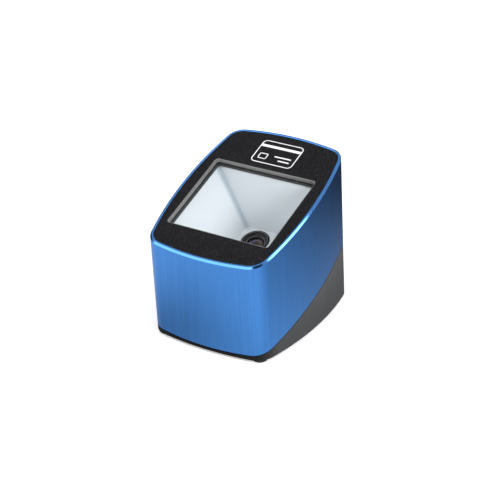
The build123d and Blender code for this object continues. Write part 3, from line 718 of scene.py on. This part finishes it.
def fill_between(work, outer, inner):
    """Fills the flat ring between two loops in one plane."""
    edges = loop_edges(work, outer) + loop_edges(work, inner)
    bmesh.ops.triangle_fill(work, use_beauty=True, edges=edges)


def rounded_rectangle(width, length, radius, steps=8):
    """Corner points of a rounded rectangle about the origin, anticlockwise."""
    points = []
    for quarter, (side, end) in enumerate(((1, 1), (-1, 1), (-1, -1), (1, -1))):
        for step in range(steps + 1):
            angle = (quarter + step / steps) * math.pi / 2
            x = side * (width / 2 - radius) + radius * math.cos(angle)
            y = end * (length / 2 - radius) + radius * math.sin(angle)
            points.append((x, y))
    return points


def lathe(name, profile, segments=96, closed=True, height_at=None):
    """Turns a profile of radius and height pairs round the local Z axis."""
    work = bmesh.new()
    rings = []
    for radius, height in profile:
        if radius < ON_AXIS:
            rings.append([work.verts.new((0, 0, height))])
            continue
        ring = []
        for step in range(segments):
            angle = FULL_TURN * step / segments
            lift = height_at(radius, height, angle) if height_at else height
            ring.append(work.verts.new((radius * math.cos(angle), radius * math.sin(angle), lift)))
        rings.append(ring)
    pairs = list(zip(rings, rings[1:]))
    if closed:
        pairs.append((rings[-1], rings[0]))
    for first, second in pairs:
        if len(first) == 1 and len(second) == 1:
            continue
        if len(first) == 1 or len(second) == 1:
            tip, ring = (first[0], second) if len(first) == 1 else (second[0], first)
            for step in range(segments):
                work.faces.new((tip, ring[step], ring[(step + 1) % segments]))
        else:
            join_loops(work, first, second)
    return finish_mesh(name, work)


def dress(material, *nodes):
    """Gives CAD nodes that stay in view a finish."""
    for node in nodes:
        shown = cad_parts[node]
        shown.data.materials.clear()
        shown.data.materials.append(material)


# ---- pieces ----
class ReaderStep(bpy.types.Operator):
    """Base for the steps that build the reader."""

    bl_idname = "reader.step"
    bl_label = "Reader step"

    def build(self, context):
        raise NotImplementedError(self.bl_idname)

    def execute(self, context):
        self.build(context)
        return {"FINISHED"}


class BuildSleeve(ReaderStep):
    """Builds the brushed metal sleeve with its bright cut rim."""

    bl_idname = "reader.sleeve"
    bl_label = "Sleeve"

    def build(self, context):
        plan = layout()
        sizes = plan.sizes
        colours = context.scene.reader_colours
        rebate = plan.face - span("panel_tape", plan.normal)[0]
        profile = (
            (sizes.edge_break, plan.seam_at(0), 0),
            (0.0, plan.seam_at(-sizes.edge_break), 0),
            (0.0, plan.panel_at(0, sizes.rim_bevel), 1),
            (sizes.rim_bevel, plan.panel_at(0), 1),
            (sizes.rim - sizes.rim_inner_bevel, plan.panel_at(0), 0),
            (sizes.rim, plan.panel_at(sizes.rim_inner_bevel), 0),
            (sizes.rim, plan.panel_at(rebate), 0),
            (sizes.wall, plan.panel_at(rebate), 0),
            (sizes.wall, plan.seam_at(0), 0),
        )
        work = bmesh.new()
        loops = [add_loop(work, plan.outline(inset, height)) for inset, height, finish in profile]
        for index, (inset, height, finish) in enumerate(profile):
            join_loops(work, loops[index], loops[(index + 1) % len(loops)], finish)
        mesh = finish_mesh("sleeve", work, math.radians(20))
        materials = [brushed_sleeve(colours), cut_rim(colours)]
        piece("sleeve", mesh, materials, ["shell_sleeve"])


class BuildPanel(ReaderStep):
    """Builds the black panel with its window opening."""

    bl_idname = "reader.panel"
    bl_label = "Panel"

    def build(self, context):
        plan = layout()
        sizes = plan.sizes
        bottom = plan.face - span("top_panel", plan.normal)[0]
        inset = sizes.rim + sizes.panel_gap
        rise, width, length = plan.window()
        work = bmesh.new()
        outer = [
            add_loop(work, plan.outline(inset, plan.panel_at(bottom))),
            add_loop(work, plan.outline(inset, plan.panel_at(sizes.edge_break))),
            add_loop(work, plan.outline(inset + sizes.edge_break, plan.panel_at(0))),
        ]
        inner = []
        for growth, depth in ((sizes.window_bevel, 0), (0, sizes.window_bevel_drop), (0, bottom)):
            corner = sizes.window_corner + growth
            shape = rounded_rectangle(width + 2 * growth, length + 2 * growth, corner)
            inner.append(add_loop(work, [plan.on_panel(x, rise + y, depth) for x, y in shape]))
        for finish, loops in enumerate((outer, inner)):
            for first, second in zip(loops, loops[1:]):
                join_loops(work, first, second, finish)
        fill_between(work, outer[-1], inner[0])
        fill_between(work, outer[0], inner[-1])
        mesh = finish_mesh("panel", work)
        colours = context.scene.reader_colours
        # Painted reflection: the opening's walls are grey in place of the black panel's mirrored light.
        edge = moulded("panel_cut_edge", tuple(colours.cut_edge_painted_reflection), 0.3, 1200.0, 0.004 * MM, 0.15)
        piece("panel", mesh, [panel_black(colours), edge], ["top_panel"])
        dress(moulded("tape_black", (0.02, 0.02, 0.02), 0.7), "panel_tape")


class DressMark(ReaderStep):
    """Inks the printed card mark."""

    bl_idname = "reader.mark"
    bl_label = "Printed mark"

    def build(self, context):
        ink = tuple(context.scene.reader_colours.ink)
        dress(moulded("mark_ink", ink, 0.45, 5200.0, 0.004 * MM, 0.04), "panel_symbol")


class DressWindow(ReaderStep):
    """Clears the glass and greys the foam ring under it."""

    bl_idname = "reader.window"
    bl_label = "Window"

    def build(self, context):
        colours = context.scene.reader_colours
        dress(clear_glass(), "window_glass")
        dress(moulded("foam_grey", tuple(colours.foam), 0.85, 4200.0, 0.05 * MM, 0.2), "window_gasket")


class DressFunnel(ReaderStep):
    """Whitens the light funnel."""

    bl_idname = "reader.funnel"
    bl_label = "Light funnel"

    def build(self, context):
        dress(funnel_white(context.scene.reader_colours, layout()), "light_reflector")


class BuildLens(ReaderStep):
    """Turns the lens barrel, its retaining ring and its coated front glass."""

    bl_idname = "reader.lens"
    bl_label = "Lens"

    def build(self, context):
        place = layout().lens_frame()
        black = lens_black()
        mesh = lathe("lens_body", [(radius * MM, height * MM) for radius, height in BARREL_PROFILE])
        piece("lens_body", mesh, [black], ["lens_barrel"], place)

        notch_width, notch_depth, notched_above = 0.1, 0.35 * MM, -1.9 * MM

        def notched(radius, height, angle):
            in_notch = abs(math.sin(angle)) < notch_width and height > notched_above
            return height - notch_depth if in_notch else height

        profile = [(radius * MM, height * MM) for radius, height in RING_PROFILE]
        mesh = lathe("lens_ring", profile, height_at=notched)
        piece("lens_ring", mesh, [black], ["lens_retaining_ring"], place)

        edge, dome, radius, back = -2.5 * MM, 0.75 * MM, 5.15 * MM, -4.3 * MM
        sphere = (radius**2 + dome**2) / (2 * dome)
        profile = []
        steps = 14
        for step in range(steps + 1):
            across = radius * step / steps
            profile.append((across, edge + dome - sphere + math.sqrt(sphere**2 - across**2)))
        profile += [(radius, back), (0.0, back)]
        mesh = lathe("lens_glass", profile, closed=False)
        coating = coated_lens(context.scene.reader_colours)
        piece("lens_glass", mesh, [coating], ["lens_front_element"], place)
        dress(moulded("lens_glass_rear", (0.02, 0.016, 0.03), 0.1, 900.0, 0.0), "lens_rear_element")


class DressCamera(ReaderStep):
    """Finishes the camera, its boards and the lamps behind the funnel."""

    bl_idname = "reader.camera"
    bl_label = "Camera and lamps"

    def build(self, context):
        dress(board_green("board_green"), "camera_board", "light_board", "antenna_board", "main_board")
        dress(moulded("holder_black", (0.02, 0.02, 0.021), 0.5), "lens_holder", "buzzer", "socket_tongue")
        dress(moulded("filter_blue", (0.12, 0.3, 0.34), 0.08, 800.0, 0.0), "infrared_filter")
        dress(moulded("sensor_dark", (0.03, 0.035, 0.05), 0.2, 1500.0, 0.002 * MM), "image_sensor")
        dress(moulded("lamp_cream", (0.85, 0.8, 0.6), 0.35), "light_leds")
        dress(plated("spacer_brass", (0.72, 0.52, 0.22), 0.28), "board_spacers")


class DressInside(ReaderStep):
    """Finishes the frame, the aerial, the chips and the leads."""

    bl_idname = "reader.inside"
    bl_label = "Inside"

    def build(self, context):
        dress(moulded("frame_black", (0.022, 0.022, 0.023), 0.55), "inner_frame")
        dress(moulded("ferrite_grey", (0.05, 0.05, 0.053), 0.75), "ferrite_sheet")
        dress(plated("coil_copper", (0.8, 0.38, 0.2), 0.3), "antenna_coil")
        chips = moulded("chip_black", (0.025, 0.025, 0.026), 0.5)
        dress(chips, "processor_chip", "memory_chip", "radio_chip")
        dress(plated("can_steel", (0.62, 0.62, 0.6), 0.25), "crystal_cans", "socket_shell")
        dress(plated("can_aluminium", (0.72, 0.72, 0.72), 0.32), "capacitors")
        dress(moulded("socket_cream", (0.7, 0.65, 0.52), 0.5), "ribbon_sockets")
        dress(moulded("ribbon_white", (0.75, 0.75, 0.72), 0.35, 1800.0, 0.005 * MM), "camera_ribbon")
        dress(moulded("lead_black", (0.02, 0.02, 0.02), 0.5), "light_lead", "antenna_lead")
        screws = plated("screw_zinc", (0.6, 0.6, 0.58), 0.3)
        dress(screws, "reflector_screws", "camera_screws", "board_screws", "case_screws")


class DressBase(ReaderStep):
    """Finishes the plastic base, its feet and its plain label."""

    bl_idname = "reader.base"
    bl_label = "Base"

    def build(self, context):
        colours = context.scene.reader_colours
        dress(base_plastic(colours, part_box("base_tray")[0].y), "base_tray")
        dress(moulded("foot_rubber", tuple(colours.rubber), 0.8, 2600.0, 0.04 * MM), "rubber_feet")
        dress(moulded("label_film", (0.5, 0.51, 0.53), 0.45, 4000.0, 0.003 * MM, 0.03), "blank_label")


class SetStudio(ReaderStep):
    """Sets the floor, the soft lights and the camera."""

    bl_idname = "reader.studio"
    bl_label = "Studio"

    def build(self, context):
        studio = context.scene.reader_studio
        self.lay_floor(studio)
        self.light_world(context.scene)
        centre = Vector((0, 0, studio.target_height))
        self.lay_table(studio)
        for name, place, size in LIGHTS:
            light = self.soft_light(name, place, centre, size, getattr(studio, name + "_power"))
            light.visible_glossy = name != UNMIRRORED_LIGHT
        self.set_camera(context.scene, studio)
        context.scene.view_settings.view_transform = "Standard"

    def flat_sheet(self, name, material, reach, drop=0.0):
        """A flat square in the scene, about the reader and a drop under the desk's level."""
        work = bmesh.new()
        bmesh.ops.create_grid(work, x_segments=2, y_segments=2, size=reach)
        bmesh.ops.translate(work, verts=work.verts, vec=(0, 0, -drop))
        mesh = finish_mesh(name, work)
        mesh.materials.append(material)
        sheet = bpy.data.objects.new(name, mesh)
        bpy.context.scene.collection.objects.link(sheet)
        return sheet

    def lay_floor(self, studio):
        surface = Surface("floor_pale")
        fleck = surface.noise(40.0, 2.0)
        pale = tuple(studio.floor_colour)
        surface.set(
            Base_Color=surface.mix(fleck, shaded(pale, 0.99), pale),
            Roughness=0.9,
            Emission_Color=(1.0, 1.0, 1.0),
            Emission_Strength=studio.floor_glow,
        )
        floor = self.flat_sheet("floor", surface.material, FLOOR_REACH)
        floor.visible_glossy = False

    def lay_table(self, studio):
        """The card that shiny pieces mirror: bright at the front left, falling off towards the back right."""
        surface = Surface("table_card")
        fall = surface.along(TABLE_FALL_WAY)
        apart = surface.vector_math("DISTANCE", surface.place(), SHADE_PLACE, "Value")
        glow = surface.node("ShaderNodeMapRange", {}, {
            "Value": (studio.table_near - studio.table_fall * fall) / studio.table_peak,
            "From Min": TABLE_LEAST, "From Max": 1.0, "To Min": TABLE_LEAST, "To Max": 1.0,
        })
        glow = glow * (1.0 - SHADE_DEPTH + SHADE_DEPTH * apart.clamped(0.0, SHADE_REACH))
        surface.set(
            Base_Color=(0.0, 0.0, 0.0),
            Specular_IOR_Level=0.0,
            Emission_Color=surface.mix(glow, (0.0, 0.0, 0.0), (1.0, 1.0, 1.0)),
            Emission_Strength=studio.table_peak,
        )
        card = self.flat_sheet("table_card", surface.material, TABLE_REACH, TABLE_DROP)
        for ray in ("camera", "diffuse", "transmission", "shadow", "volume_scatter"):
            setattr(card, "visible_" + ray, False)

    def light_world(self, scene):
        world = bpy.data.worlds.new("studio_sky")
        world.use_nodes = True
        sky = Shading(world.node_tree)
        way = sky.node("ShaderNodeTexCoord", output="Generated")
        shade = 1.0
        for middle, start, darkest in DARK_PATCHES:
            near = sky.vector_math("DOT_PRODUCT", way, middle, "Value")
            shade = shade * (1.0 - PATCH_DEPTH * near.clamped(start, darkest))
        backdrop = world.node_tree.nodes["Background"]
        sky.feed(backdrop.inputs["Color"], sky.mix(shade, (0.0, 0.0, 0.0), (1.0, 1.0, 1.0)))
        backdrop.inputs["Strength"].default_value = scene.reader_studio.sky
        scene.world = world

    def soft_light(self, name, place, target, size, power):
        lamp = bpy.data.lights.new(name, "AREA")
        lamp.shape = "DISK"
        lamp.size = size
        lamp.energy = power
        made = bpy.data.objects.new(name, lamp)
        bpy.context.scene.collection.objects.link(made)
        made.location = place
        made.rotation_euler = (target - Vector(place)).to_track_quat("-Z", "Y").to_euler()
        return made

    def set_camera(self, scene, studio):
        turn, lift, roll = studio.azimuth, studio.elevation, studio.roll
        back = Vector((math.sin(turn) * math.cos(lift), -math.cos(turn) * math.cos(lift), math.sin(lift)))
        right = Vector((math.cos(turn), math.sin(turn), 0))
        up = back.cross(right)
        rolled_right = right * math.cos(roll) + up * math.sin(roll)
        rolled_up = up * math.cos(roll) - right * math.sin(roll)
        place = Vector((0, 0, studio.target_height)) + back * studio.distance
        place += rolled_right * studio.slide_right + rolled_up * studio.slide_up
        lens = bpy.data.cameras.new("camera")
        lens.lens = studio.focal_length
        lens.shift_x = studio.shift_right
        lens.shift_y = studio.shift_up
        lens.clip_start = 10 * MM
        camera = bpy.data.objects.new("camera", lens)
        turned = Matrix((rolled_right, rolled_up, back)).transposed().to_4x4()
        camera.matrix_world = Matrix.Translation(place) @ turned
        scene.collection.objects.link(camera)
        scene.camera = camera


STEPS = (
    BuildSleeve, BuildPanel, DressMark, DressWindow, DressFunnel, BuildLens,
    DressCamera, DressInside, DressBase, SetStudio,
)


class ReaderPanel(bpy.types.Panel):
    """Lists the steps that build the reader."""

    bl_idname = "VIEW3D_PT_reader"
    bl_label = "Card reader"
    bl_space_type = "VIEW_3D"
    bl_region_type = "UI"
    bl_category = "Card reader"

    def draw(self, context):
        for step in STEPS:
            self.layout.operator(step.bl_idname)


GROUPS = (("reader_sizes", ReaderSizes), ("reader_colours", ReaderColours), ("reader_studio", ReaderStudio))


def register():
    for name, group in GROUPS:
        bpy.utils.register_class(group)
        setattr(bpy.types.Scene, name, bpy.props.PointerProperty(type=group))
    for step in STEPS:
        bpy.utils.register_class(step)
    bpy.utils.register_class(ReaderPanel)


def unregister():
    bpy.utils.unregister_class(ReaderPanel)
    for step in reversed(STEPS):
        bpy.utils.unregister_class(step)
    for name, group in reversed(GROUPS):
        delattr(bpy.types.Scene, name)
        bpy.utils.unregister_class(group)


def main():
    register()
    for step in STEPS:
        family, action = step.bl_idname.split(".")
        getattr(getattr(bpy.ops, family), action)()


if __name__ == "__main__":
    main()
